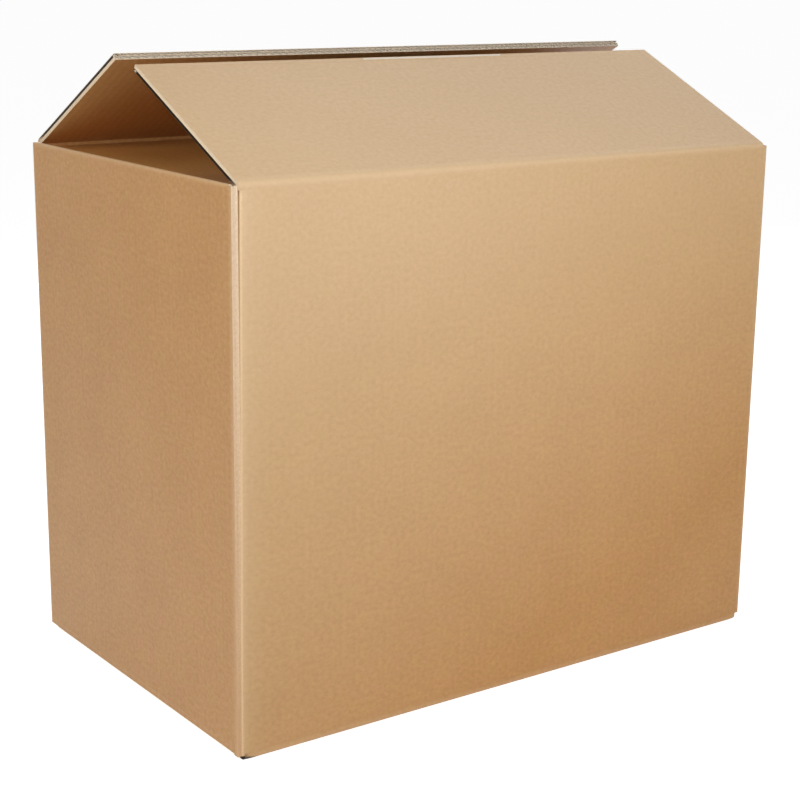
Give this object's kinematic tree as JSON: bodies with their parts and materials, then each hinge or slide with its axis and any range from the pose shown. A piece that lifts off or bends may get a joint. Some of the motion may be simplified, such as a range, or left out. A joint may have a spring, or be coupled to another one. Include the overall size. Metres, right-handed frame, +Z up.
{
  "type": "open cardboard box",
  "caption": "Open corrugated shipping carton with closed bottom, folded-in short top flaps and two long top flaps standing half open on their creases.",
  "frame": {"origin": "centre of the footprint, on the surface the carton stands on", "axes": "+X along the long panels, +Y from the front panel (the one with the glued joint at its left) to the back panel, +Z up"},
  "size_m": [0.6, 0.372, 0.5786],
  "materials": {
    "board": "matt uncoated brown liner"
  },
  "bodies": {
    "carton": {"carton_body": "board"},
    "front_flap": {"front_flap": "board"},
    "back_flap": {"back_flap": "board"}
  },
  "joints": [
    {"name": "front_flap_crease", "type": "hinge", "parent": "carton", "child": "front_flap", "pos_m": [0, -0.186, 0.49], "axis": [1, 0, 0], "range_deg": [-26, 234]},
    {"name": "back_flap_crease", "type": "hinge", "parent": "carton", "child": "back_flap", "pos_m": [0, 0.186, 0.49], "axis": [-1, 0, 0], "range_deg": [-28.5, 231.5]}
  ]
}
